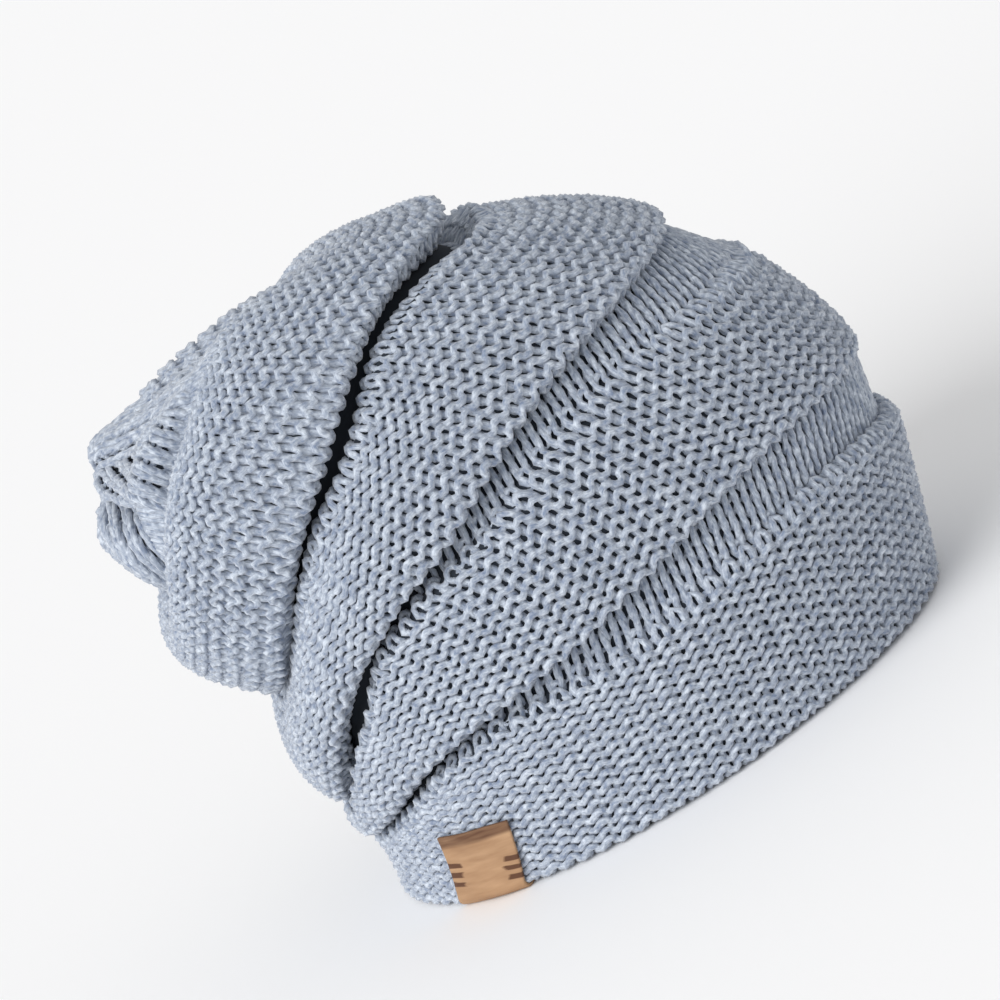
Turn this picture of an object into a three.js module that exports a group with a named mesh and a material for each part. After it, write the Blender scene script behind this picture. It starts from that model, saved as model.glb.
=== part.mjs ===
import * as THREE from "three";

// Overall sizes in millimetres. The rim stands flat on the ground, the front of the hat is +X
// and the label is on the -Y side.
const BRIM_LENGTH = 207;
const BRIM_WIDTH = 161;
const HAT_HEIGHT = 208;

// The rim is a little narrower in front than behind.
const FRONT_TAPER = 0.06;

// The knitted wall: one layer of thick yarn, rounded at the rim, with grooves between the bands.
const WALL = 5;
const RIM_ROUND = 1.2;
const GROOVE_DEPTH = 9;

// The crown is drawn together: its centre is dimpled, small pleats run out from it and one long
// crease crosses it on the near side.
const GATHER_DIMPLE = 3;
const PLEATS = 7;
const PLEAT_HEIGHT = 1.2;
const CREASE_ANGLE = -2.3;
const CREASE_SPREAD = 0.36;
const CREASE_DEPTH = 4.5;

// The label is one strip folded over the rim. It covers some of the body's columns.
const LABEL_HEIGHT = 23;
const LABEL_THICKNESS = 1.2;
const LABEL_GAP = 0.3;
const LABEL_FIRST_COLUMN = 33;
const LABEL_COLUMNS = 3;

const COLUMNS = 56;

// One row per ring of the hat, from the rim to the crown. A ring runs through a back and a front
// point on the middle plane: x as a share of the brim's length, z as a share of the hat's height.
// Its half width is a share of the brim's. `bow` is how far the near and the far side bow towards
// the crown, as shares of the height: the far side has slumped. `full` says how much sooner the bow
// is reached coming from the back and from the front.
const RINGS = {
  rim: { back: [0, 0], front: [1, 0], width: 1, bow: [0, 0], full: [0, 0] },
  belly1: { back: [0.009, 0.062], front: [1.043, 0.135], width: 1.06, bow: [0.04, 0.002], full: [1.6, 0.8] },
  top1: { back: [0.005, 0.116], front: [1.082, 0.272], width: 1.11, bow: [0.08, 0.004], full: [1.8, 0.8] },
  lip2: { back: [-0.007, 0.13], front: [1.081, 0.388], width: 1.14, bow: [0.098, 0.005], full: [1.8, 0.6] },
  belly2: { back: [-0.012, 0.156], front: [1.06, 0.486], width: 1.17, bow: [0.135, 0], full: [1.8, 0.5] },
  top2: { back: [-0.005, 0.18], front: [1.002, 0.617], width: 1.14, bow: [0.162, 0.004], full: [1.8, 0.2] },
  lip3: { back: [-0.007, 0.195], front: [0.931, 0.724], width: 1.14, bow: [0.146, 0], full: [1.8, 0.2] },
  belly3: { back: [-0.036, 0.288], front: [0.835, 0.808], width: 1.15, bow: [0.15, -0.008], full: [0.8, 0.6] },
  top3: { back: [0, 0.39], front: [0.702, 0.875], width: 1.07, bow: [0.128, 0.006], full: [0, 1.2] },
  lip4: { back: [-0.005, 0.409], front: [0.646, 0.942], width: 1.06, bow: [0.11, -0.004], full: [0, 1.2] },
  belly4: { back: [-0.103, 0.534], front: [0.502, 0.983], width: 1, bow: [0.145, -0.02], full: [-0.2, 0.7] },
  top4: { back: [-0.048, 0.614], front: [0.386, 0.968], width: 0.8, bow: [0.173, -0.03], full: [-0.5, 0] },
  cap1: { back: [-0.061, 0.644], front: [0.28, 0.957], width: 0.74, bow: [0.138, -0.038], full: [-0.5, 0] },
  cap2: { back: [-0.092, 0.692], front: [0.145, 0.942], width: 0.58, bow: [0.072, -0.026], full: [-0.3, 0] },
  cap3: { back: [-0.104, 0.731], front: [0.024, 0.913], width: 0.36, bow: [0.03, -0.018], full: [0, 0] },
  cap4: { back: [-0.108, 0.769], front: [-0.048, 0.897], width: 0.17, bow: [0.005, -0.01], full: [0, 0] },
};

// The grooves above bands 1, 2 and 3: shares of the groove depth in front, at the sides and behind.
const GROOVES = [
  { front: 0.33, side: 0.67, back: 0.55 },
  { front: 0.3, side: 0.72, back: 0.55 },
  { front: 1, side: 1, back: 0.55 },
];

// A band is a rolled stretch of fabric between its lower lip and its top.
const BANDS = [
  ["rim", "belly1", "top1"],
  ["lip2", "belly2", "top2"],
  ["lip3", "belly3", "top3"],
  ["lip4", "belly4", "top4"],
];

// How a band is rounded: the place along it, as a share, and the inset there as a share of the
// groove's depth. The lip turns in sharply and the top sinks softly.
const LIP_ROUND = [
  { along: 0, inset: 0.42 },
  { along: 0.025, inset: 0.12 },
  { along: 0.09, inset: 0 },
];
const TOP_ROUND = [
  { along: 0.84, inset: 0.06 },
  { along: 0.93, inset: 0.24 },
  { along: 1, inset: 0.6 },
];
const BAND_MIDDLE = [0.22, 0.38, 0.54, 0.7];
const INNER_MIDDLE = [0.25, 0.5, 0.75];

function numbersOf(ring) {
  return [...ring.back, ...ring.front, ring.width, ...ring.bow, ...ring.full];
}

function blend(rings, weights) {
  const sum = new Array(numbersOf(RINGS.rim).length).fill(0);
  rings.forEach((ring, r) => numbersOf(ring).forEach((n, i) => (sum[i] += n * weights[r])));
  const [backX, backZ, frontX, frontZ, width, ...bowAndFull] = sum;
  return {
    back: [backX, backZ],
    front: [frontX, frontZ],
    width,
    bow: bowAndFull.slice(0, 2),
    full: bowAndFull.slice(2),
  };
}

// The ring of a band at a share of the way from its lip to its top.
function bandRing(band, along) {
  const weights = [(1 - along) * (1 - 2 * along), 4 * along * (1 - along), along * (2 * along - 1)];
  return blend(band.map((name) => RINGS[name]), weights);
}

function columnAngle(column) {
  return (column / COLUMNS) * 2 * Math.PI;
}

// How far a ring bows towards the crown at an angle; the near side is the negative one.
function bowAt(ring, cos, sin) {
  const full = cos < 0 ? ring.full[0] : ring.full[1];
  const bow = sin < 0 ? ring.bow[0] : ring.bow[1];
  return bow * HAT_HEIGHT * sin * sin * (1 + full * cos * cos);
}

// A point of a ring: `inset` moves it in towards the ring's middle, `drop` away from the crown.
function ringPoint(ring, angle, inset, drop) {
  const back = new THREE.Vector3(ring.back[0] * BRIM_LENGTH, 0, ring.back[1] * HAT_HEIGHT);
  const front = new THREE.Vector3(ring.front[0] * BRIM_LENGTH, 0, ring.front[1] * HAT_HEIGHT);
  const along = front.clone().sub(back).normalize();
  const up = new THREE.Vector3(-along.z, 0, along.x);
  const halfLength = front.distanceTo(back) / 2 - inset;
  const halfWidth = (ring.width * BRIM_WIDTH) / 2 - inset;
  const cos = Math.cos(angle);
  const sin = Math.sin(angle);
  const point = front.add(back).multiplyScalar(0.5);
  point.addScaledVector(along, cos * halfLength);
  point.y += sin * halfWidth * (1 - FRONT_TAPER * cos);
  return point.addScaledVector(up, bowAt(ring, cos, sin) - drop);
}

function ringRow(ring, inset, drop = () => 0) {
  const row = [];
  for (let column = 0; column < COLUMNS; column++) {
    const angle = columnAngle(column);
    row.push(ringPoint(ring, angle, inset(angle), drop(angle)));
  }
  return row;
}

// The depth of a groove at an angle.
function grooveDepth(groove, angle) {
  const { front, side, back } = GROOVES[groove];
  const cos = Math.cos(angle);
  return GROOVE_DEPTH * (side + ((cos > 0 ? front : back) - side) * cos * cos);
}

// How far the rim is pressed up under the label.
function rimLift(column) {
  const under = column >= LABEL_FIRST_COLUMN && column <= LABEL_FIRST_COLUMN + LABEL_COLUMNS;
  return under ? LABEL_THICKNESS + LABEL_GAP : 0;
}

function rimRow(along, inset) {
  const row = ringRow(bandRing(BANDS[0], along), () => inset);
  row.forEach((point, column) => (point.z += rimLift(column)));
  return row;
}

// Pleats and crease of the crown, as a drop below the smooth cap. `depth` is the share in use.
function crownDrop(angle, depth) {
  const turned = Math.atan2(Math.sin(angle - CREASE_ANGLE), Math.cos(angle - CREASE_ANGLE));
  const crease = CREASE_DEPTH * Math.exp(-((turned / CREASE_SPREAD) ** 2));
  return depth * (crease + PLEAT_HEIGHT * (1 - Math.cos(PLEATS * angle)));
}

function grooveRings(band) {
  const top = RINGS[BANDS[band][2]];
  const lip = RINGS[BANDS[band + 1][0]];
  return (share) => blend([top, lip], [1 - share, share]);
}

function outerRows() {
  const rows = [rimRow(0, RIM_ROUND), rimRow(0.035, 0)];
  BANDS.forEach((band, b) => {
    const lip = b === 0 ? [] : LIP_ROUND;
    const top = b === BANDS.length - 1 ? TOP_ROUND.slice(0, 2) : TOP_ROUND;
    const below = (angle) => grooveDepth(Math.max(b - 1, 0), angle);
    const above = (angle) => grooveDepth(Math.min(b, BANDS.length - 2), angle);
    for (const { along, inset } of lip) rows.push(ringRow(bandRing(band, along), (angle) => inset * below(angle)));
    for (const along of BAND_MIDDLE) rows.push(ringRow(bandRing(band, along), () => 0));
    for (const { along, inset } of top) rows.push(ringRow(bandRing(band, along), (angle) => inset * above(angle)));
    if (b === BANDS.length - 1) return;
    const ringAt = grooveRings(b);
    rows.push(ringRow(ringAt(0.2), above));
    rows.push(ringRow(ringAt(0.85), (angle) => 0.95 * above(angle)));
  });
  rows.push(ringRow(blend([RINGS.top4, RINGS.cap1], [0.7, 0.3]), () => WALL));
  const cap = [
    { ring: RINGS.cap1, inset: 0, pleats: 0.1 },
    { ring: blend([RINGS.cap1, RINGS.cap2], [0.5, 0.5]), inset: -1.5, pleats: 0.35 },
    { ring: RINGS.cap2, inset: 0, pleats: 0.7 },
    { ring: blend([RINGS.cap2, RINGS.cap3], [0.5, 0.5]), inset: 0, pleats: 0.9 },
    { ring: RINGS.cap3, inset: 0, pleats: 1 },
    { ring: RINGS.cap4, inset: 0, pleats: 0.7 },
  ];
  for (const { ring, inset, pleats } of cap) {
    rows.push(ringRow(ring, () => inset, (angle) => crownDrop(angle, pleats)));
  }
  return rows;
}

function innerRows() {
  const rows = [rimRow(0, WALL - RIM_ROUND), rimRow(0.035, WALL)];
  BANDS.forEach((band, b) => {
    for (const along of INNER_MIDDLE) rows.push(ringRow(bandRing(band, along), () => WALL));
    if (b === BANDS.length - 1) return;
    rows.push(ringRow(grooveRings(b)(0.5), (angle) => grooveDepth(b, angle) + WALL));
  });
  rows.push(ringRow(RINGS.top4, () => WALL * 1.8));
  const cap = [
    { ring: RINGS.cap1, inset: WALL, pleats: 0.1, drop: 0.3 },
    { ring: RINGS.cap2, inset: 0.7 * WALL, pleats: 0.7, drop: 0.9 },
    { ring: RINGS.cap3, inset: 0.4 * WALL, pleats: 1, drop: 1.1 },
  ];
  for (const { ring, inset, pleats, drop } of cap) {
    rows.push(ringRow(ring, () => inset, (angle) => drop * WALL + crownDrop(angle, pleats)));
  }
  return rows;
}

// The middle of a ring, moved away from the crown.
function ringMiddle(ring, drop) {
  const front = ringPoint(ring, 0, 0, drop);
  return front.add(ringPoint(ring, Math.PI, 0, drop)).multiplyScalar(0.5);
}

function geometryOf(points, faces) {
  const geometry = new THREE.BufferGeometry();
  geometry.setAttribute("position", new THREE.Float32BufferAttribute(points.flatMap((p) => p.toArray()), 3));
  geometry.setIndex(faces.flat());
  geometry.computeVertexNormals();
  return geometry;
}

// A closed skin through a run of rings, from one end point to the other.
function skin(first, rows, last) {
  const points = [first, ...rows.flat(), last];
  const at = (row, column) => 1 + row * COLUMNS + (column % COLUMNS);
  const faces = [];
  for (let column = 0; column < COLUMNS; column++) {
    faces.push([0, at(0, column + 1), at(0, column)]);
    for (let row = 0; row + 1 < rows.length; row++) {
      const corner = [at(row, column), at(row, column + 1), at(row + 1, column + 1), at(row + 1, column)];
      faces.push([corner[0], corner[1], corner[2]], [corner[0], corner[2], corner[3]]);
    }
    const end = rows.length - 1;
    faces.push([points.length - 1, at(end, column), at(end, column + 1)]);
  }
  return geometryOf(points, faces);
}

function knitBody() {
  const rows = [...innerRows().reverse(), ...outerRows()];
  const innerEnd = ringMiddle(RINGS.cap4, WALL + GATHER_DIMPLE);
  const outerEnd = ringMiddle(RINGS.cap4, GATHER_DIMPLE);
  return skin(innerEnd, rows, outerEnd);
}

// The label's section, a U as [share of the height, offset out of the wall], taken all round.
const LABEL_STEPS = [1, 0.8, 0.6, 0.4, 0.2, LABEL_THICKNESS / LABEL_HEIGHT];

function labelSection() {
  const outside = LABEL_GAP + LABEL_THICKNESS;
  const far = LABEL_STEPS.map((share) => [share, outside]);
  const inFar = LABEL_STEPS.map((share) => [share, -WALL - outside]).reverse();
  const inNear = LABEL_STEPS.map((share) => [share, -WALL - LABEL_GAP]);
  const near = LABEL_STEPS.map((share) => [share, LABEL_GAP]).reverse();
  return [...far, [0, 0], [0, -WALL], ...inFar, ...inNear, ...near];
}

function label() {
  const section = labelSection();
  const points = [];
  for (let c = 0; c <= LABEL_COLUMNS; c++) {
    const angle = columnAngle(LABEL_FIRST_COLUMN + c);
    const full = ringPoint(bandRing(BANDS[0], 1), angle, 0, 0).z;
    for (const [share, offset] of section) {
      const ring = bandRing(BANDS[0], (share * LABEL_HEIGHT) / full);
      points.push(ringPoint(ring, angle, -offset, 0));
    }
  }
  const faces = [];
  const size = section.length;
  for (let c = 0; c < LABEL_COLUMNS; c++) {
    for (let i = 0; i < size; i++) {
      const a = c * size + i;
      const b = c * size + ((i + 1) % size);
      faces.push([a, b, b + size], [a, b + size, a + size]);
    }
  }
  const flat = section.map(([share, offset]) => new THREE.Vector2(offset, share * LABEL_HEIGHT));
  const far = LABEL_COLUMNS * size;
  for (const [a, b, c] of THREE.ShapeUtils.triangulateShape(flat, [])) {
    faces.push([a, b, c], [far + a, far + c, far + b]);
  }
  return geometryOf(points, faces);
}

function meshOf(name, geometry, color, roughness) {
  const material = new THREE.MeshStandardMaterial({ color, roughness, metalness: 0 });
  const mesh = new THREE.Mesh(geometry, material);
  mesh.name = name;
  return mesh;
}

const hat = new THREE.Group();
hat.add(meshOf("knit_body", knitBody(), "#a3aebd", 0.95));
hat.add(meshOf("label", label(), "#c08d58", 0.7));

// The origin is the middle of the hat's length and width, on the ground.
const box = new THREE.Box3().setFromObject(hat);
const middle = box.getCenter(new THREE.Vector3());
for (const mesh of hat.children) mesh.position.set(-middle.x, -middle.y, -box.min.z);

export default hat;
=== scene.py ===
import math

import bmesh
import bpy
import numpy as np
from mathutils import Matrix, Vector


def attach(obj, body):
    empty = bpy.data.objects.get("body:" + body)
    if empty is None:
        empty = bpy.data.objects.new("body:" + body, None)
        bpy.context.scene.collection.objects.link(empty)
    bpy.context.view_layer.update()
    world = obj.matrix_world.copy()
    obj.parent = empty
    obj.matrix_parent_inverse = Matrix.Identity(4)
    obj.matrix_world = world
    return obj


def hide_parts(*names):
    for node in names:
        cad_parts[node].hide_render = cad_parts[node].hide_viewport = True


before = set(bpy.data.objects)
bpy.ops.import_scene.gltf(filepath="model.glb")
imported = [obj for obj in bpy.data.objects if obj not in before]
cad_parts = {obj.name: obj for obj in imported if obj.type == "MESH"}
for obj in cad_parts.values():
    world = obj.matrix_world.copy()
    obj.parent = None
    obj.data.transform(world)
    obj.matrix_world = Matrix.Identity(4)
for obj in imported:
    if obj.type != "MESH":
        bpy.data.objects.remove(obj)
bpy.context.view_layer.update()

# Bands 1 to 4 and the grooves above them: thick heathered yarn, knitted round in one piece from the
# rim up. The bands show their purl side and roll over the grooves, which show the plain side and are
# pinched in. The crown and the label follow the same rings. Sizes are in millimetres.
BRIM_LENGTH = 207.0
BRIM_WIDTH = 161.0
HAT_HEIGHT = 208.0
FRONT_TAPER = 0.06

# One row per ring: back x, back z, front x, front z, half width, bow towards the crown on the near
# and on the far side, and how much sooner that bow is reached from the back and from the front.
# All are shares of the sizes above. top4 hangs a little lower here than in the CAD model.
RINGS = {
    "rim": (0, 0, 1, 0, 1, 0, 0, 0, 0),
    "belly1": (0.009, 0.062, 1.043, 0.135, 1.06, 0.04, 0.002, 1.6, 0.8),
    "top1": (0.005, 0.116, 1.082, 0.272, 1.11, 0.08, 0.004, 1.8, 0.8),
    "lip2": (-0.007, 0.13, 1.081, 0.388, 1.14, 0.098, 0.005, 1.8, 0.6),
    "belly2": (-0.012, 0.156, 1.06, 0.486, 1.17, 0.135, 0, 1.8, 0.5),
    "top2": (-0.005, 0.18, 1.002, 0.617, 1.14, 0.162, 0.004, 1.8, 0.2),
    "lip3": (-0.007, 0.195, 0.931, 0.724, 1.14, 0.146, 0, 1.8, 0.2),
    "belly3": (-0.036, 0.288, 0.835, 0.808, 1.15, 0.15, -0.008, 0.8, 0.6),
    "top3": (0, 0.39, 0.702, 0.875, 1.07, 0.128, 0.006, 0, 1.2),
    "lip4": (-0.005, 0.409, 0.646, 0.942, 1.06, 0.11, -0.004, 0, 1.2),
    "belly4": (-0.103, 0.534, 0.502, 0.983, 1, 0.145, -0.02, -0.2, 0.7),
    "top4": (-0.048, 0.614, 0.386, 0.968, 0.8, 0.127, -0.03, -0.3, 1.4),
    "cap1": (-0.061, 0.644, 0.28, 0.957, 0.74, 0.138, -0.038, -0.5, 0),
    "cap2": (-0.092, 0.692, 0.145, 0.942, 0.58, 0.072, -0.026, -0.3, 0),
    "cap3": (-0.104, 0.731, 0.024, 0.913, 0.36, 0.03, -0.018, 0, 0),
    "cap4": (-0.108, 0.769, -0.048, 0.897, 0.17, 0.005, -0.01, 0, 0),
}
BANDS = [
    ("rim", "belly1", "top1"),
    ("lip2", "belly2", "top2"),
    ("lip3", "belly3", "top3"),
    ("lip4", "belly4", "top4"),
]

# The grooves above the bands, in mm at these angles from the front, alike on both sides: how far
# the band below reaches over its groove, how far the fabric steps in there, how deep it lies under
# the next lip, how far that lip is drawn back, how far in loops are laid before the bare, near-black
# core shows as painted shade, and how many of the groove's courses are still purl. The last value
# slants its columns, in radians for 90 mm.
GROOVE_ANGLES = [0, 30, 60, 75, 90, 105, 120, 135, 150, 180]
GROOVES = [
    {
        "reach": [0, 0.4, 0.7, 0.8, 0.9, 3.2, 6.4, 4, 1.2, -0.2],
        "step": [7, 7, 4.5, 3.5, 3.5, 5, 7, 8, 8, 8],
        "deep": [2.5, 3, 6, 8, 9, 10, 11, 11, 11, 10],
        "lip": [0, -0.4, -0.8, -1, -1.2, -1.2, -1.2, -0.9, -0.6, 0],
        "seen": [50, 50, 50, 50, 50, 22, 5, 4, 4, 4],
        "purl": [0, 0, 0, 0, 0, 0.6, 1, 1, 1, 1],
        "slant": 0.35,
    },
    {
        "reach": [0, 2.8, 4.3, 4.5, 4.3, 6.8, 3.4, -5.5, -4, -2.2],
        "step": [2.6, 2.6, 2.6, 3.5, 6, 9, 9, 9, 9, 9],
        "deep": [5, 6.5, 8.5, 10, 11, 12, 12, 12, 12, 12],
        "lip": [2, 2, 1.9, 2, 1.5, 3.4, 1.5, -0.2, 0, -0.5],
        "seen": [50, 50, 50, 50, 22, 5, 4, 4, 4, 4],
        "purl": [0, 0, 0, 0, 0.6, 1.2, 1, 1, 1, 1],
        "slant": 0.8,
    },
    {
        "reach": [3, 5.8, 6, 3.6, 2.1, 3.2, 2.8, 1.8, 0.9, 0.9],
        "step": [14, 14, 14, 14, 14, 14, 14, 14, 12, 12],
        "deep": [15, 15, 15, 15, 15, 15, 15, 15, 13, 13],
        "lip": [0, 0.8, 1.3, 1.5, 1.1, 1.5, 1.5, 0.8, 0, 0],
        "seen": [14, 8, 5, 4, 4, 4, 4, 4, 4, 4],
        "purl": [0.8] * 10,
        "slant": 0.0,
    },
    {
        "reach": [0] * 10,
        "step": [4] * 10,
        "deep": [6] * 10,
        "lip": [0] * 10,
        "seen": [50] * 10,
        "purl": [0] * 10,
        "slant": 0.0,
    },
]
# How far a band's edge rolls in, the radius of the rim's and of the lips' roll, how far the fabric is
# tucked in under the next lip, and the room for the last groove, below the crown.
EDGE_ROLL = 2.6
RIM_ROLL = 2.4
LIP_ROLL = 3.0
TUCK = 4.0
NECK_GAP = 6.0
# Band 4 sags on its far front: by this many mm, at this angle and this wide, in radians.
SAG, SAG_ANGLE, SAG_WIDE = 5.5, 0.5, 0.6

# The yarn's radius, half the fabric's depth between the loops' heads and legs, half the height of a
# loop in courses, how far a loop curls past its own stitch, and the stitches round the hat.
YARN = 1.3
LOOP_DEPTH = 1.2
LOOP_RISE = 1.25
OVERCURL = 1.0
WALES = 82
FABRIC_MIDDLE = LOOP_DEPTH + YARN
# Hand and yarn are uneven: along a course and in height by these shares of a stitch, in depth by
# mm, and in girth by a share.
UNEVEN_ALONG, UNEVEN_HEIGHT, UNEVEN_DEPTH, UNEVEN_GIRTH = 0.022, 0.03, 0.08, 0.05
# Each course wavers round the hat in two slow waves, by this share of its height.
WAVER = 0.05
# Points along one loop of yarn, and round it.
STEPS = 14
SIDES = 5
# Courses in each band and in the groove above it, and the band's shortest and tallest course in mm.
COURSES = [
    {"band": 15, "groove": 6, "shortest": 2.9, "tallest": 4.9},
    {"band": 10, "groove": 6, "shortest": 3.0, "tallest": 5.4},
    {"band": 10, "groove": 6, "shortest": 3.0, "tallest": 5.6},
    {"band": 12, "groove": 3, "shortest": 3.0, "tallest": 5.4},
]
# The first course lies this share of a course above the rim, or above a lip.
RIM_COURSE, LIP_COURSE = 0.95, 0.45
# Past a band's edge its courses are drawn out towards this height in mm, by at most this share.
GROOVE_COURSE, GROOVE_STRETCH = 4.5, 1.3
# The yarn looks fuller on a lip's first courses, and thinner where a groove is pulled tight.
LIP_YARN, GROOVE_YARN = 1.1, 0.86
# No yarn goes below the ground.
LOWEST = YARN + 0.25

dice = np.random.default_rng(7)


def ring_points(ring, angle, inset, drop=0.0):
    """Points of a ring at these angles, moved in by `inset` and away from the crown by `drop`."""
    bx, bz, fx, fz, width, near, far, back_full, front_full = ring
    bx, fx, bz, fz = bx * BRIM_LENGTH, fx * BRIM_LENGTH, bz * HAT_HEIGHT, fz * HAT_HEIGHT
    length = np.hypot(fx - bx, fz - bz)
    ax, az = (fx - bx) / length, (fz - bz) / length
    cos, sin = np.cos(angle), np.sin(angle)
    fuller = np.where(cos < 0, back_full, front_full)
    rise = np.where(sin < 0, near, far) * HAT_HEIGHT * sin**2 * (1 + fuller * cos**2) - drop
    reach = cos * (length / 2 - inset)
    x = (bx + fx) / 2 + ax * reach - az * rise
    z = (bz + fz) / 2 + az * reach + ax * rise
    y = sin * (width * BRIM_WIDTH / 2 - inset) * (1 - FRONT_TAPER * cos)
    return np.stack(np.broadcast_arrays(x, y, z), -1)


def numbers(name):
    """A ring's row of numbers, by its name."""
    return np.array(RINGS[name], float)


def between(names, along):
    """The numbers of the ring at shares of the way through three rings."""
    a, b, c = (numbers(n) for n in names)
    s = np.asarray(along)[..., None]
    out = a * (1 - s) * (1 - 2 * s) + b * 4 * s * (1 - s) + c * s * (2 * s - 1)
    return np.moveaxis(out, -1, 0)


ANGLES = np.linspace(-math.pi, math.pi, 721)


def wrap(angle):
    """The same angle between -pi and pi."""
    return (angle + math.pi) % (2 * math.pi) - math.pi


def at(values, angle):
    """A value given at each of ANGLES, at any other angle."""
    return np.interp(wrap(angle), ANGLES, values)


def band_height(names):
    """How tall a band is at each of ANGLES, along its fabric."""
    points = np.stack([ring_points(between(names, s), ANGLES, 0.0) for s in np.linspace(0, 1, 25)])
    return np.linalg.norm(np.diff(points, axis=0), axis=-1).sum(0)


def gap_height(low, high):
    """How far two rings lie apart at each of ANGLES."""
    apart = ring_points(numbers(low), ANGLES, 0.0) - ring_points(numbers(high), ANGLES, 0.0)
    return np.linalg.norm(apart, axis=-1)


BAND_HEIGHTS = [band_height(names) for names in BANDS]
GAPS = [gap_height(BANDS[i][2], BANDS[i + 1][0]) for i in range(3)] + [np.full(len(ANGLES), NECK_GAP)]


def groove(band, column, angle):
    """A value of the groove above a band, at an angle."""
    return np.interp(np.abs(angle), np.radians(GROOVE_ANGLES), GROOVES[band][column])


def lip_at(band, angle):
    """How far a band's lower edge is drawn back."""
    return groove(band - 1, "lip", angle) if band > 0 else np.zeros_like(angle)


def edge_at(band, angle):
    """How far up a band its upper edge lies."""
    return at(BAND_HEIGHTS[band], angle) + groove(band, "reach", angle)


def groove_end(band, angle):
    """How far up its fabric goes, past the edge and along the groove, to its end under the next lip."""
    angle = wrap(angle)
    step = groove(band, "step", angle)
    wall = step - np.minimum(EDGE_ROLL, step)
    return at(BAND_HEIGHTS[band], angle) + at(GAPS[band], angle) + groove(band, "lip", angle) + wall + TUCK


def rolled(distance, radius):
    """How far a rolled edge has turned in, at a distance from its end. Past that it goes straight in."""
    near = np.clip(radius - distance, 0, radius)
    return radius - np.sqrt(np.maximum(radius**2 - near**2, 0)) + np.maximum(-distance, 0)


def band_surface(band):
    """The fabric's middle on a band and in the groove above it, by distance above its lower edge."""
    low = numbers(BANDS[band][2])
    high = numbers(BANDS[band + 1][0]) if band < 3 else numbers("cap1")
    lip_roll = LIP_ROLL if band > 0 else RIM_ROLL

    def place(y, angle, depth=FABRIC_MIDDLE):
        """Points this far up the fabric, and this deep under its outermost line."""
        angle = wrap(angle)
        tall, gap, lip = at(BAND_HEIGHTS[band], angle), at(GAPS[band], angle), lip_at(band, angle)
        step, deep, edge = groove(band, "step", angle), groove(band, "deep", angle), edge_at(band, angle)
        turn_in = np.minimum(EDGE_ROLL, step)
        # Past its edge the fabric goes straight in, then along the groove, then in under the lip.
        after = np.maximum(y - edge - (step - turn_in), 0)
        run = np.maximum(tall + gap + groove(band, "lip", angle) - edge, 1.0)
        along = np.minimum(after, run)
        up = np.clip(y, lip, edge) + along
        beyond = np.maximum(up - tall, 0) / np.maximum(gap, 1.0)
        ring = between(BANDS[band], np.minimum(up / tall, 1))
        ring = ring + np.moveaxis((high - low) * beyond[..., None], -1, 0)
        inset = np.minimum(rolled(edge - y, turn_in), step)
        inset = inset + (deep - step) * along / run + np.maximum(after - run, 0)
        if band == 3:
            # At the band's lower edge the dent is a third as deep.
            dent = np.exp(-(((angle - SAG_ANGLE) / SAG_WIDE) ** 2))
            inset = inset + SAG * dent * np.clip(up / tall * 2.5 + 0.3, 0, 1)
        angle = angle + GROOVES[band]["slant"] * along / 90
        return ring_points(ring, angle, inset + rolled(y - lip, lip_roll) + depth)

    return place


# Lengths along the hat's widest line, so that the stitches are as wide in front as at the sides.
widest = ring_points(between(BANDS[1], 0.5), ANGLES, 0.0)
widest_run = np.concatenate([[0], np.cumsum(np.linalg.norm(np.diff(widest, axis=0), axis=-1))])


def angle_at(share, row):
    """The angle at a share of the way round, the same in every course."""
    return np.interp(share % 1.0, widest_run / widest_run[-1], ANGLES)


def all_round(row):
    """A course with the same number of stitches at any height: where each starts, and its width."""
    return np.arange(WALES) / WALES, np.full(WALES, 1 / WALES)


def soft_noise(stitches, amount):
    """Small unevenness of hand and yarn: four values a stitch, faded into each other."""
    values = dice.normal(0, amount, stitches * 4)
    places = np.arange(stitches * STEPS) * 4 / STEPS
    low = np.floor(places).astype(int)
    part = places - low
    part = part * part * (3 - 2 * part)
    return values[low % len(values)] * (1 - part) + values[(low + 1) % len(values)] * part


def outward(place, y, angle):
    """The fabric's outward direction at these places."""
    round_hat = place(y, angle + 0.01) - place(y, angle - 0.01)
    up_hat = place(y + 0.4, angle) - place(y - 0.4, angle)
    out = np.cross(round_hat, up_hat)
    return out / np.maximum(np.linalg.norm(out, axis=-1, keepdims=True), 1e-9)


# The hat's own middle in plan, from its widest rings.
reached = [ring_points(between(names, s), ANGLES, 0.0) for names in BANDS for s in np.linspace(0, 1, 21)]
reached = np.concatenate(reached + [ring_points(numbers("cap4"), ANGLES, 0.0)])
MIDDLE = np.array([(reached[:, 0].min() + reached[:, 0].max()) / 2, 0.0, 0.0])


def mesh_object(name, verts, faces, uv=None):
    """An object from arrays in mm, because the loops are too many to be laid by operators."""
    used = np.unique(faces)
    index = np.full(len(verts), -1)
    index[used] = np.arange(len(used))
    faces, verts = index[faces], (verts[used] - MIDDLE) * 0.001
    mesh = bpy.data.meshes.new(name)
    mesh.vertices.add(len(verts))
    mesh.vertices.foreach_set("co", verts.astype(np.float32).ravel())
    mesh.loops.add(faces.size)
    mesh.loops.foreach_set("vertex_index", faces.astype(np.int32).ravel())
    mesh.polygons.add(len(faces))
    mesh.polygons.foreach_set("loop_start", np.arange(0, faces.size, faces.shape[1], dtype=np.int32))
    mesh.update(calc_edges=True)
    if uv is not None:
        mesh.uv_layers.new(name="yarn").data.foreach_set("uv", uv.astype(np.float32).ravel())
    mesh.polygons.foreach_set("use_smooth", np.ones(len(faces), bool))
    mesh.validate()
    made = bpy.data.objects.new(name, mesh)
    bpy.context.scene.collection.objects.link(made)
    return made


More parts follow.
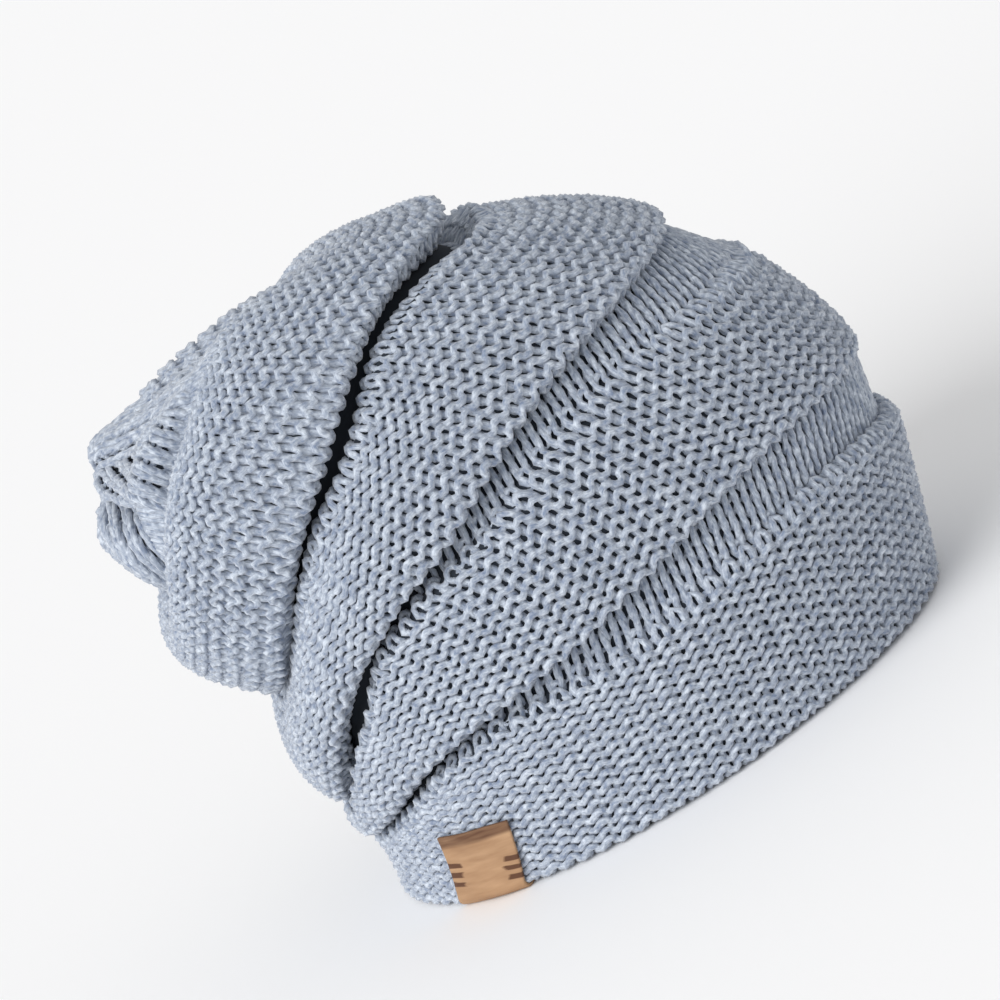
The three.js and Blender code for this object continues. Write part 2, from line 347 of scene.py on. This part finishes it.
def tube(points, out, radius, kept, first):
    """A closed tube of yarn: all its corners, its faces where it is kept, and the points kept."""
    along = np.roll(points, -1, 0) - np.roll(points, 1, 0)
    along /= np.maximum(np.linalg.norm(along, axis=-1, keepdims=True), 1e-9)
    side = np.cross(along, out)
    side /= np.maximum(np.linalg.norm(side, axis=-1, keepdims=True), 1e-9)
    up = np.cross(side, along)
    girth = np.arange(SIDES) * 2 * math.pi / SIDES
    ring = up[:, None] * np.cos(girth)[:, None] + side[:, None] * np.sin(girth)[:, None]
    verts = (points[:, None] + radius[:, None, None] * ring).reshape(-1, 3)
    at_point = np.nonzero(kept)[0]
    here = (first + at_point * SIDES)[:, None]
    there = (first + (at_point + 1) % len(points) * SIDES)[:, None]
    k = np.arange(SIDES)
    k1 = (k + 1) % SIDES
    faces = np.stack([here + k, here + k1, there + k1, there + k], -1).reshape(-1, 4)
    return verts, faces, at_point


# On the yarn's map a unit is 100 mm of yarn, and one turn round it is 0.01. Points lie 1.85 mm
# apart, and each course starts a little further on.
MAP_POINT, MAP_TURN, MAP_COURSE = 0.0185, 0.01, 0.37


def yarn_map(row, at_point):
    """Places along and round the yarn, so that its fibres follow it."""
    k = np.arange(SIDES)
    u0 = (MAP_COURSE * row + MAP_POINT * at_point)[:, None] + 0 * k
    u1 = u0 + MAP_POINT
    v0, v1 = MAP_TURN * k / SIDES + 0 * u0, MAP_TURN * (k + 1) / SIDES + 0 * u0
    corners = [np.stack(pair, -1) for pair in ((u0, v0), (u0, v1), (u1, v1), (u1, v0))]
    return np.stack(corners, 2).reshape(-1, 2)


def knit(name, place, rows, height_at, face, limit, **extra):
    """Courses of interlocked loops laid on a surface, as one mesh of closed tubes.

    `face` is 1 for purl and -1 for plain. A course that runs past `limit` is tucked away there, and
    its loops are left out. Extras are `plan` for a course's stitches, `turn` for their angles,
    `lift` for a press from below, `thick` for the yarn's girth and `pinch` for narrow loops.
    """
    plan, turn = extra.get("plan", all_round), extra.get("turn", angle_at)
    lift, thick, pinch = extra.get("lift"), extra.get("thick"), extra.get("pinch", 0.0)
    all_verts, all_faces, all_uv, made = [], [], [], 0
    t = np.arange(STEPS) * 2 * math.pi / STEPS
    for row in rows:
        starts, widths = plan(row)
        count = len(starts)
        loop = np.tile(t, count)
        across = (t + OVERCURL * np.sin(2 * t) - pinch * np.sin(t)) / (2 * math.pi)
        share = (starts[:, None] + widths[:, None] * across).ravel()
        share = share + soft_noise(count, UNEVEN_ALONG) * np.repeat(widths, STEPS)
        angle = turn(share, row + LOOP_RISE * np.cos(loop))
        waver = WAVER * np.sin(angle * 5 + row * 0.35) + WAVER * np.sin(angle * 11 + row * 0.8)
        high = row + waver + LOOP_RISE * np.cos(loop) + soft_noise(count, UNEVEN_HEIGHT)
        y = height_at(high, angle)
        depth = face(row, angle) * LOOP_DEPTH * np.cos(2 * loop) + soft_noise(count, UNEVEN_DEPTH)
        kept = (height_at(row, angle) < limit(angle)).reshape(count, STEPS).all(1)
        if not kept.any():
            continue
        kept = np.repeat(kept, STEPS)
        out = outward(place, y, angle)
        points = place(y, angle) + out * depth[:, None]
        if lift is not None:
            points[:, 2] += lift(points)
        points[:, 2] = np.maximum(points[:, 2], LOWEST)
        radius = YARN * (1 + soft_noise(count, UNEVEN_GIRTH)) * (thick(row) if thick else 1)
        # The tube tapers to nothing where its loops stop.
        radius = np.where(kept == np.roll(kept, 1), radius, 0.02)
        verts, faces, at_point = tube(points, out, radius, kept, made)
        all_verts.append(verts)
        all_faces.append(faces)
        all_uv.append(yarn_map(row, at_point))
        made += len(verts)
    return mesh_object(name, np.concatenate(all_verts), np.concatenate(all_faces), np.concatenate(all_uv))


def linear(hex_colour):
    """An sRGB hex colour as the linear colour that Blender takes."""
    parts = [int(hex_colour[i : i + 2], 16) / 255 for i in (1, 3, 5)]
    return tuple(c / 12.92 if c <= 0.04045 else ((c + 0.055) / 1.055) ** 2.4 for c in parts) + (1.0,)


def node(tree, kind, links=(), **settings):
    """Adds a node; settings go to its properties or inputs, links are (input, other node, output)."""
    made = tree.nodes.new(kind)
    for key, value in settings.items():
        if key in made.inputs:
            made.inputs[key].default_value = value
        elif key.startswith("in") and key[2:].isdigit():
            made.inputs[int(key[2:])].default_value = value
        else:
            setattr(made, key, value)
    for socket, other, output in links:
        tree.links.new(other.outputs[output], made.inputs[socket])
    return made


def yarn_material(dark, mid, light):
    """Acrylic and wool yarn, heathered: pale and slate fibres twisted together, matt and a bit hairy."""
    material = bpy.data.materials.new("heathered_grey_blue_yarn")
    material.use_nodes = True
    tree = material.node_tree
    tree.nodes.clear()
    uv = node(tree, "ShaderNodeUVMap", uv_map="yarn")
    # Fibres 1.7 mm long, and nine of them round the yarn, so about 0.9 mm wide.
    stretch = node(tree, "ShaderNodeMapping", [("Vector", uv, "UV")], Scale=(60.0, 900.0, 1.0))
    fibre = node(tree, "ShaderNodeTexNoise", [("Vector", stretch, 0)], Scale=1.0, Detail=3.0, Roughness=0.6)
    # Flecks of about 2.4 mm, where one shade of fibre gathers.
    place = node(tree, "ShaderNodeTexCoord")
    fleck = node(tree, "ShaderNodeTexNoise", [("Vector", place, "Object")], Scale=420.0, Detail=2.0)
    both = node(tree, "ShaderNodeMath", [(0, fibre, 0), (1, fleck, 0)], operation="ADD")
    half = node(tree, "ShaderNodeMath", [(0, both, 0)], operation="MULTIPLY", in1=0.5)
    ramp = node(tree, "ShaderNodeValToRGB", [("Fac", half, 0)])
    first, last = ramp.color_ramp.elements
    first.position, last.position = 0.36, 0.64
    first.color, last.color = linear(dark), linear(light)
    ramp.color_ramp.elements.new(0.5).color = linear(mid)
    bump = node(tree, "ShaderNodeBump", [("Height", fibre, 0)], Strength=0.55, Distance=0.0006)
    links = [("Base Color", ramp, 0), ("Normal", bump, 0)]
    shader = node(tree, "ShaderNodeBsdfPrincipled", links, Roughness=0.9)
    shader.inputs["Sheen Weight"].default_value = 0.35
    shader.inputs["Sheen Roughness"].default_value = 0.6
    shader.inputs["Specular IOR Level"].default_value = 0.25
    node(tree, "ShaderNodeOutputMaterial", [("Surface", shader, 0)])
    return material


heather = yarn_material("#75829a", "#a2abb9", "#cdd5e0")

# The label sits at this angle from the front and covers this much to both sides. Under its fold
# the rim is pressed up by this many mm, which fades over this height.
LABEL_ANGLE = -2.405
LABEL_SPREAD = 0.15
RIM_PRESS, PRESS_FADE = 1.4, 7


def rim_lift(p):
    """The rim is pressed up a little under the label's fold."""
    angle = np.arctan2(p[..., 1] / BRIM_WIDTH, (p[..., 0] - BRIM_LENGTH / 2) / BRIM_LENGTH)
    under = 1 / (1 + np.exp((np.abs(angle - LABEL_ANGLE) - LABEL_SPREAD - 0.01) / 0.02))
    return RIM_PRESS * under * np.exp(-np.maximum(p[..., 2] - 1, 0) / PRESS_FADE)


def band_courses(band):
    """The height and the face of a band's courses, and how far up loops are laid before the bare,
    near-black core shows as painted shade.
    """
    courses = COURSES[band]
    first = RIM_COURSE if band == 0 else LIP_COURSE

    def pitch(angle):
        """How tall a course is."""
        tall = at(BAND_HEIGHTS[band], angle) - lip_at(band, wrap(angle))
        return np.clip(tall / courses["band"], courses["shortest"], courses["tallest"])

    def height_at(row, angle):
        """How far up a course lies, in mm."""
        angle = wrap(angle)
        edge, course = edge_at(band, angle), pitch(angle)
        y = lip_at(band, angle) + course * (row + first)
        drawn_out = np.clip(GROOVE_COURSE / course, 1.0, GROOVE_STRETCH)
        return np.where(y < edge, y, edge + (y - edge) * drawn_out)

    def face(row, angle):
        """Purl side out on the band, plain side out in the groove."""
        angle = wrap(angle)
        over = (edge_at(band, angle) - lip_at(band, angle)) / pitch(angle) - (row + first)
        return np.clip((over - 0.1 + groove(band, "purl", angle)) * 3, -1, 1)

    def limit(angle):
        """How far up loops are laid: to where the bare, near-black core takes over as painted shade, or to
        the fabric's end.
        """
        angle = wrap(angle)
        return np.minimum(groove_end(band, angle), edge_at(band, angle) + groove(band, "seen", angle))

    return {"height_at": height_at, "face": face, "limit": limit}


def band_yarn(row):
    """The courses of a rolled lip are fuller than the others."""
    return LIP_YARN if row <= 0 else 1.0


for band, courses in enumerate(COURSES):
    surface, count = band_surface(band), courses["band"]
    lift = rim_lift if band == 0 else None
    thick = None if band == 0 else band_yarn
    name = "band_%d" % (band + 1)
    band_piece = knit(name, surface, range(-1, count), lift=lift, thick=thick, **band_courses(band))
    name = "groove_%d" % (band + 1)
    rows = range(count, count + courses["groove"] + 1)
    groove_piece = knit(name, surface, rows, thick=lambda row: GROOVE_YARN, **band_courses(band))
    for piece in (band_piece, groove_piece):
        piece.data.materials.append(heather)
        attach(piece, "root")

# The crown: the same yarn in plain knit, drawn together at its centre. It has seven gores, small
# pleats and one long crease on the near side, and comes out from under band 4.
# One row per ring: how far it is drawn in, in mm, and how strong its pleats and crease are.
CAP = [
    {"ring": "top4", "inset": 3.2, "pleats": 0.0, "crease": 1.0},
    {"ring": "cap1", "inset": 0.5, "pleats": 0.1, "crease": 1.2},
    {"ring": "cap2", "inset": 0.0, "pleats": 0.7, "crease": 1.05},
    {"ring": "cap3", "inset": 0.0, "pleats": 1.0, "crease": 0.8},
    {"ring": "cap4", "inset": 0.0, "pleats": 0.8, "crease": 0.4},
    {"ring": "centre", "inset": 0.0, "pleats": 0.5, "crease": 0.0},
]
# The crease's angle, how far it reaches to its steep front side and to its wide back side, in
# radians, and its depth in mm.
CREASE_ANGLE, CREASE_STEEP, CREASE_WIDE, CREASE_DEPTH = -2.23, 0.2, 0.32, 17.0
# How many pleats there are, half their height, and how far the centre dips, in mm.
PLEATS, PLEAT_HEIGHT, DIMPLE = 7, 1.0, 3.0
# The columns of stitches turn by this angle on their way to the centre.
CROWN_TWIST = 0.5
# The gores, of which one starts in the crease, the width of a stitch in mm, the courses, how far
# up the first one lies, and how narrow the loops are. Stitches are numbered by gore and place.
GORES = 7
GORE_START = CREASE_ANGLE - 4 * math.pi / GORES
CROWN_STITCH = 7.4
CROWN_COURSES = 15
CROWN_FIRST = 0.3
CROWN_PINCH = 0.5
GORE_NUMBERS = 100


def gathered(ring, share):
    """A ring drawn together about its own middle."""
    middle_x, middle_z = (ring[0] + ring[2]) / 2, (ring[1] + ring[3]) / 2
    ends = [middle_x + (ring[0] - middle_x) * share, middle_z + (ring[1] - middle_z) * share]
    ends += [middle_x + (ring[2] - middle_x) * share, middle_z + (ring[3] - middle_z) * share]
    return (*ends, 0.02, *ring[5:])


RINGS["centre"] = gathered(RINGS["cap4"], 0.12)
CAP_TABLE = np.array([[*RINGS[row["ring"]], row["inset"], row["pleats"], row["crease"]] for row in CAP])


def cap_ring(s):
    """The crown's table at a share of the way from the neck to the centre, curving smoothly."""
    s = np.clip(s, 0, 1) * (len(CAP_TABLE) - 1)
    i = np.minimum(np.floor(s).astype(int), len(CAP_TABLE) - 2)
    f = (s - i)[..., None]
    p0, p1 = CAP_TABLE[np.maximum(i - 1, 0)], CAP_TABLE[i]
    p2, p3 = CAP_TABLE[i + 1], CAP_TABLE[np.minimum(i + 2, len(CAP_TABLE) - 1)]
    bend = (2 * p0 - 5 * p1 + 4 * p2 - p3) * f**2 + (3 * p1 - p0 - 3 * p2 + p3) * f**3
    row = 0.5 * (2 * p1 + (p2 - p0) * f + bend)
    return np.moveaxis(row[..., :9], -1, 0), row[..., 9], row[..., 10], row[..., 11]


def from_crease(angle):
    """How far an angle lies from the crease."""
    return np.arctan2(np.sin(angle - CREASE_ANGLE), np.cos(angle - CREASE_ANGLE))


def crown_place(s, angle, depth=FABRIC_MIDDLE):
    """A place on the crown, at a share of the way to its centre. The cloth turns to face up there."""
    ring, inset, pleats, crease = cap_ring(s)
    turned = from_crease(angle)
    side = np.where(turned > 0, CREASE_STEEP, CREASE_WIDE)
    crease = crease * CREASE_DEPTH * np.exp(-((turned / side) ** 2))
    # The neck is drawn in most in front.
    neck = 1 + 0.9 * np.cos(angle + 0.3)
    facing = np.clip((s - 0.15) / 0.6, 0, 1) * math.pi / 2
    drop = pleats * PLEAT_HEIGHT * (1 - np.cos(PLEATS * angle)) + depth * np.sin(facing)
    drop = drop + DIMPLE * np.clip((s - 0.8) / 0.2, 0, 1) + 0.3 * crease
    angle = angle + CROWN_TWIST * np.clip((s - 0.06) / 0.54, 0, 1)
    return ring_points(ring, angle, inset * neck + crease + depth * np.cos(facing), drop)


crown_shares = np.linspace(0, 1, 61)
crown_points = np.stack([crown_place(np.full_like(ANGLES, s), ANGLES, 0.0) for s in crown_shares])
crown_height = np.linalg.norm(np.diff(crown_points, axis=0), axis=-1).sum(0)
crown_rings = np.linalg.norm(np.diff(crown_points, axis=1), axis=-1).sum(1)


def crown_surface(y, angle, depth=FABRIC_MIDDLE):
    """The fabric's middle on the crown, by distance above its neck."""
    return crown_place(np.clip(y / at(crown_height, angle), 0, 1), angle, depth)


def gore_wide(row):
    """The width of a gore at a height counted in courses."""
    return np.interp((row + CROWN_FIRST) / CROWN_COURSES, crown_shares, crown_rings) / GORES


def crown_turn(stitch, row):
    """The angle of a place counted in stitches within its gore."""
    gore = np.floor(stitch / GORE_NUMBERS)
    across = np.clip((stitch - GORE_NUMBERS * gore - 1) * CROWN_STITCH / gore_wide(row), 0, 1)
    return 2 * math.pi * (gore + across) / GORES + GORE_START


def crown_plan(row):
    """Seven gores, whose columns run straight up and end one by one at the next gore."""
    count = max(int(round(gore_wide(row) / CROWN_STITCH)), 1)
    starts = np.repeat(np.arange(GORES) * GORE_NUMBERS + 1, count) + np.tile(np.arange(count), GORES)
    return starts.astype(float), np.ones(GORES * count)


def crown_row(row, angle):
    """How far up a course of the crown lies, in mm."""
    return at(crown_height, angle) * (row + CROWN_FIRST) / CROWN_COURSES


def crown_face(row, angle):
    """Purl on the far side of the neck, plain knit elsewhere."""
    if row > 8:
        return -1.0
    return np.clip(np.sin(angle + 0.7) * 12, -1, 1)


def crown_limit(angle):
    """The column of stitches at the bottom of the crease is out of sight, and is left out."""
    return np.where(np.abs(from_crease(angle) - 0.08) < 0.05, 0.0, 1e3)


stitches = {"plan": crown_plan, "turn": crown_turn, "pinch": CROWN_PINCH}
courses = range(CROWN_COURSES)
crown = knit("crown", crown_surface, courses, crown_row, crown_face, crown_limit, **stitches)
crown.data.materials.append(heather)
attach(crown, "root")

# The inner side of the fabric: the same yarn, packed tight behind the loops and always in shade. It
# is a thin closed wall behind each band, its groove and the crown, and shows between the loops. Its
# shade is painted: the wall is coloured nearly black.
# How deep its two skins lie, and where it starts above the rim and above a lip, in mm.
CORE_OUT, CORE_IN = FABRIC_MIDDLE + 0.6, FABRIC_MIDDLE + 1.0
RIM_START, LIP_START = 2.0, -2.0
CORE_COLUMNS = 120
BAND_ROWS, CROWN_ROWS = 30, 24


def core_wall(place, low, high, rows):
    """A wall from one height to another, closed at both edges."""
    angle = np.linspace(-math.pi, math.pi, CORE_COLUMNS, endpoint=False)
    heights = [low + (high - low) * i / (rows - 1) for i in range(rows)]
    skins = [np.stack([place(y, angle, depth) for y in heights]) for depth in (CORE_OUT, CORE_IN)]
    verts = np.concatenate([skin.reshape(-1, 3) for skin in skins])
    i, c = np.meshgrid(np.arange(rows - 1), np.arange(CORE_COLUMNS), indexing="ij")
    here, there = i * CORE_COLUMNS, (i + 1) * CORE_COLUMNS
    c1 = (c + 1) % CORE_COLUMNS
    outside = np.stack([here + c, here + c1, there + c1, there + c], -1).reshape(-1, 4)
    inner = rows * CORE_COLUMNS
    rim = np.arange(CORE_COLUMNS)
    rim1 = (rim + 1) % CORE_COLUMNS
    last = (rows - 1) * CORE_COLUMNS
    low_edge = np.stack([rim, inner + rim, inner + rim1, rim1], -1)
    high_edge = np.stack([last + rim, last + rim1, inner + last + rim1, inner + last + rim], -1)
    return verts, np.concatenate([outside, outside[:, ::-1] + inner, low_edge, high_edge])


columns = np.linspace(-math.pi, math.pi, CORE_COLUMNS, endpoint=False)
starts = [RIM_START, LIP_START, LIP_START, LIP_START]
ends = [groove_end(band, columns) for band in range(4)]
walls = [core_wall(band_surface(band), starts[band], ends[band], BAND_ROWS) for band in range(4)]
walls.append(core_wall(crown_surface, 0.0, at(crown_height, columns), CROWN_ROWS))
firsts = np.cumsum([0] + [len(verts) for verts, _ in walls])
core_verts = np.concatenate([verts for verts, _ in walls])
core_faces = np.concatenate([faces + first for (_, faces), first in zip(walls, firsts)])
core = mesh_object("fabric_core", core_verts, core_faces)
# Painted shade: the inner yarn is coloured quite matt and nearly black, so that each gap between
# loops reads dark.
shade = bpy.data.materials.new("painted_shade_inner_yarn")
shade.use_nodes = True
shade.node_tree.nodes["Principled BSDF"].inputs["Base Color"].default_value = linear("#262c35")
shade.node_tree.nodes["Principled BSDF"].inputs["Roughness"].default_value = 1.0
core.data.materials.append(shade)
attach(core, "root")
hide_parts("knit_body")

# The label is one strip of tan leather, folded over the rim and stitched down. It stands 27 mm
# tall on the outside and leans a little, and its face is printed with dark wood grain.
LABEL_TALL = 27.0
LABEL_INSIDE = 15.0
# Half the width that its print is drawn for. The strip is 30 mm wide, so the print is stretched
# by 1.3 across.
PRINT_HALF = 11.5
# Its lean in radians, how much wider it gets at the foot of its left side, and how its upper part
# is cut in mm: lower at the right, and a little taller as a whole.
LABEL_LEAN = 0.05
LABEL_FLARE = 0.14
HEAD_SLANT, HEAD_RISE = 1.7, 0.9
LABEL_THICK = 1.1
LABEL_BEVEL = 0.28
# The fold's outer radius round the middle of the knitted wall, and how far the leather swells.
FOLD = 4.0
WALL_MIDDLE = 2.5
SWELL = 0.35
LABEL_COLUMNS, LABEL_ROWS, FOLD_ROWS, INSIDE_ROWS = 25, 18, 12, 8
top1_height = ring_points(numbers("top1"), ANGLES, 0.0)[:, 2]


def label_path(radius):
    """Height above the ground and inset along a U of this radius, down the face and up inside."""
    drop = (FOLD - LABEL_TALL) / LABEL_ROWS
    face = [(LABEL_TALL + drop * i, WALL_MIDDLE - radius) for i in range(LABEL_ROWS)]
    bends = [math.pi * i / FOLD_ROWS for i in range(FOLD_ROWS + 1)]
    fold = [(FOLD - radius * math.sin(b), WALL_MIDDLE - radius * math.cos(b)) for b in bends]
    climb = (LABEL_INSIDE - FOLD) / INSIDE_ROWS
    back = [(FOLD + climb * i, WALL_MIDDLE + radius) for i in range(1, INSIDE_ROWS + 1)]
    return face + fold + back


def label_skin(radius):
    """One side of the strip, as rows of points, and the map that its print follows."""
    across = np.linspace(-1, 1, LABEL_COLUMNS)
    place = band_surface(0)
    skin, marks = [], []
    for height, inset in label_path(radius):
        up = height / LABEL_TALL
        flare = np.where(across < 0, 1 + LABEL_FLARE * (1 - up), 1.0)
        angle = LABEL_ANGLE + LABEL_SPREAD * across * flare + LABEL_LEAN * (up - 0.4)
        along_knit = np.maximum(height, 3.0) * at(BAND_HEIGHTS[0], angle) / at(top1_height, angle)
        p = place(along_knit, angle, inset)
        head = max(up - 0.2, 0)
        p[:, 2] = height - HEAD_SLANT * head * (across + 1) / 2 + HEAD_RISE * head
        p[:, 1] -= SWELL * np.sin(across * 4.2 + height * 0.35) * (inset < 0)
        skin.append(p)
        printed = height if inset < WALL_MIDDLE else -height
        marks.append(np.stack([across * PRINT_HALF, np.full(LABEL_COLUMNS, printed)], -1))
    return np.stack(skin), np.stack(marks)


outer, marks = label_skin(FOLD)
inner, _ = label_skin(FOLD - LABEL_THICK)
bm = bmesh.new()
marking = bm.loops.layers.uv.new("grain")
grid = [[[bm.verts.new((p - MIDDLE) * 0.001) for p in row] for row in side] for side in (outer, inner)]
label_rows = len(outer)


def label_face(corners):
    """A face through corners given as (side, row, column), with the outside's marks as its map."""
    face = bm.faces.new([grid[s][r][c] for s, r, c in corners])
    for loop, (s, r, c) in zip(face.loops, corners):
        loop[marking].uv = marks[r][c] * 0.001


for r in range(label_rows - 1):
    for c in range(LABEL_COLUMNS - 1):
        label_face([(0, r, c), (0, r + 1, c), (0, r + 1, c + 1), (0, r, c + 1)])
        label_face([(1, r, c), (1, r, c + 1), (1, r + 1, c + 1), (1, r + 1, c)])
    for c in (0, LABEL_COLUMNS - 1):
        ends = [(0, r, c), (1, r, c), (1, r + 1, c), (0, r + 1, c)]
        label_face(ends if c == 0 else ends[::-1])
for c in range(LABEL_COLUMNS - 1):
    for r in (0, label_rows - 1):
        ends = [(0, r, c), (0, r, c + 1), (1, r, c + 1), (1, r, c)]
        label_face(ends if r == 0 else ends[::-1])
bmesh.ops.recalc_face_normals(bm, faces=bm.faces)
edges = [e for e in bm.edges if len(e.link_faces) == 2 and e.calc_face_angle() > 1.0]
offset = LABEL_BEVEL * 0.001
bmesh.ops.bevel(bm, geom=edges, offset=offset, affect="EDGES", segments=2, profile=0.5, material=-1)
for face in bm.faces:
    face.smooth = True
label_mesh = bpy.data.meshes.new("leather_label")
bm.to_mesh(label_mesh)
bm.free()
label = bpy.data.objects.new("leather_label", label_mesh)
bpy.context.scene.collection.objects.link(label)


def leather_material(pale, deep, burn):
    """Smooth tan leather with wood grain burnt into it: a dark head band and streaks at both sides."""
    material = bpy.data.materials.new("printed_tan_leather")
    material.use_nodes = True
    tree = material.node_tree
    tree.nodes.clear()
    uv = node(tree, "ShaderNodeUVMap", uv_map="grain")
    apart = node(tree, "ShaderNodeSeparateXYZ", [("Vector", uv, "UV")])
    # Streaks about 18 mm long across the label and 2.4 mm tall, and broader clouds of tan.
    stretch = node(tree, "ShaderNodeMapping", [("Vector", uv, "UV")], Scale=(70.0, 420.0, 1.0))
    links = [("Vector", stretch, 0)]
    streak = node(tree, "ShaderNodeTexNoise", links, Scale=1.0, Detail=2.0, Roughness=0.5)
    broad = node(tree, "ShaderNodeMapping", [("Vector", uv, "UV")], Scale=(60.0, 260.0, 1.0))
    cloud = node(tree, "ShaderNodeTexNoise", [("Vector", broad, 0)], Scale=1.0, Detail=3.0)
    tan = node(tree, "ShaderNodeValToRGB", [("Fac", cloud, 0)])
    first, last = tan.color_ramp.elements
    first.position, last.position = 0.3, 0.7
    first.color, last.color = linear(deep), linear(pale)
    # The burnt head band: the top 4 mm, streaked.
    head = node(tree, "ShaderNodeMapRange", [(0, apart, "Y")], in1=0.0222, in2=0.0236, in3=0.0, in4=1.0)
    soft = node(tree, "ShaderNodeMapRange", [(0, streak, 0)], in1=0.35, in2=0.65, in3=0.6, in4=1.0)
    head = node(tree, "ShaderNodeMath", [(0, head, 0), (1, soft, 0)], operation="MULTIPLY")
    # Three dashes at each side, 3.6 mm apart and tilted by 6 degrees. `climb` counts them in radians
    # (1745 to a metre), `wave` is their profile, and they stop above, below and towards the middle.
    slope = {"operation": "DOT_PRODUCT", "in1": (243.0, 1745.0, 0.0)}
    climb = node(tree, "ShaderNodeVectorMath", [(0, uv, "UV")], **slope)
    links = [(0, streak, 0), (2, climb, 1)]
    waver = node(tree, "ShaderNodeMath", links, operation="MULTIPLY_ADD", in1=3.0)
    wave = node(tree, "ShaderNodeMath", [(0, waver, 0)], operation="SUBTRACT", in1=27.3)
    wave = node(tree, "ShaderNodeMath", [(0, wave, 0)], operation="COSINE")
    dash = node(tree, "ShaderNodeMapRange", [(0, wave, 0)], in1=-0.35, in2=0.1, in3=0.0, in4=1.0)
    low = node(tree, "ShaderNodeMapRange", [(0, climb, 1)], in1=11.5, in2=12.0, in3=0.0, in4=1.0)
    high = node(tree, "ShaderNodeMapRange", [(0, climb, 1)], in1=28.0, in2=28.5, in3=1.0, in4=0.0)
    away = node(tree, "ShaderNodeMath", [(0, apart, "X")], operation="ABSOLUTE")
    links = [(0, cloud, 0), (2, away, 0)]
    ragged = node(tree, "ShaderNodeMath", links, operation="MULTIPLY_ADD", in1=0.006)
    zone = node(tree, "ShaderNodeMapRange", [(0, ragged, 0)], in1=0.0094, in2=0.0104, in3=0.0, in4=0.95)
    for part in (low, high, dash):
        zone = node(tree, "ShaderNodeMath", [(0, zone, 0), (1, part, 0)], operation="MULTIPLY")
    burnt = node(tree, "ShaderNodeMath", [(0, zone, 0), (1, head, 0)], operation="MAXIMUM")
    colour = node(tree, "ShaderNodeMix", data_type="RGBA")
    colour.inputs[7].default_value = linear(burn)
    tree.links.new(burnt.outputs[0], colour.inputs[0])
    tree.links.new(tan.outputs[0], colour.inputs[6])
    bump = node(tree, "ShaderNodeBump", [("Height", burnt, 0)], Strength=0.3, Distance=0.0002, invert=True)
    shader = node(tree, "ShaderNodeBsdfPrincipled", [("Normal", bump, 0)], Roughness=0.62)
    tree.links.new(colour.outputs[2], shader.inputs["Base Color"])
    node(tree, "ShaderNodeOutputMaterial", [("Surface", shader, 0)])
    return material


label.data.materials.append(leather_material("#b28e6b", "#94704f", "#4e290c"))
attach(label, "root")
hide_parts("label")

# Studio: a large sheet of pale paper, an even white surround, and one broad soft window to the
# left on the near side. None of it is a part of the hat.
FLOOR_HALF = 6.0
bm = bmesh.new()
bmesh.ops.create_grid(bm, x_segments=1, y_segments=1, size=FLOOR_HALF)
floor_mesh = bpy.data.meshes.new("floor")
bm.to_mesh(floor_mesh)
bm.free()
floor = bpy.data.objects.new("floor", floor_mesh)
bpy.context.scene.collection.objects.link(floor)
# Matt white paper, which takes a soft shadow.
paper = bpy.data.materials.new("pale_paper")
paper.use_nodes = True
paper.node_tree.nodes["Principled BSDF"].inputs["Base Color"].default_value = (0.95, 0.95, 0.955, 1)
paper.node_tree.nodes["Principled BSDF"].inputs["Roughness"].default_value = 0.9
floor.data.materials.append(paper)

world = bpy.data.worlds.new("studio")
bpy.context.scene.world = world
world.use_nodes = True
world.node_tree.nodes["Background"].inputs["Color"].default_value = (1, 1, 1, 1)
world.node_tree.nodes["Background"].inputs["Strength"].default_value = 0.66

light = bpy.data.lights.new("window", "SUN")
light.energy = 2.3
light.angle = math.radians(50)
window = bpy.data.objects.new("window", light)
window.rotation_euler = Vector((0.64, 0.62, -0.46)).to_track_quat("-Z", "Y").to_euler()
bpy.context.scene.collection.objects.link(window)

# Camera: far off and 16.5 degrees above the rim's plane, rolled so that the rim climbs to the right.
# A picture of 1000 by 1000 then shows a third of a millimetre in each pixel at the hat.
RISE, ROLL = math.radians(16.5), math.radians(31.996)
DISTANCE, PIXEL = 4.0, 0.33e-3
AIM_FORWARD, AIM_UP = 0.0957, 0.0939
up = Vector((0, math.sin(RISE), math.cos(RISE)))
look = Vector((0, math.cos(RISE), -math.sin(RISE)))
right = Vector((1, 0, 0)) * math.cos(ROLL) - up * math.sin(ROLL)
top = Vector((1, 0, 0)) * math.sin(ROLL) + up * math.cos(ROLL)
aim = Vector((AIM_FORWARD - MIDDLE[0] * 0.001, 0, 0)) + up * AIM_UP
camera = bpy.data.objects.new("camera", bpy.data.cameras.new("camera"))
camera.data.sensor_width = 36
camera.data.lens = 36 * DISTANCE / (1000 * PIXEL)
camera.data.clip_end = 30
turned = Matrix((right, top, -look)).transposed()
camera.matrix_world = Matrix.Translation(aim - look * DISTANCE) @ turned.to_4x4()
bpy.context.scene.collection.objects.link(camera)
bpy.context.scene.camera = camera
bpy.context.scene.view_settings.view_transform = "Standard"
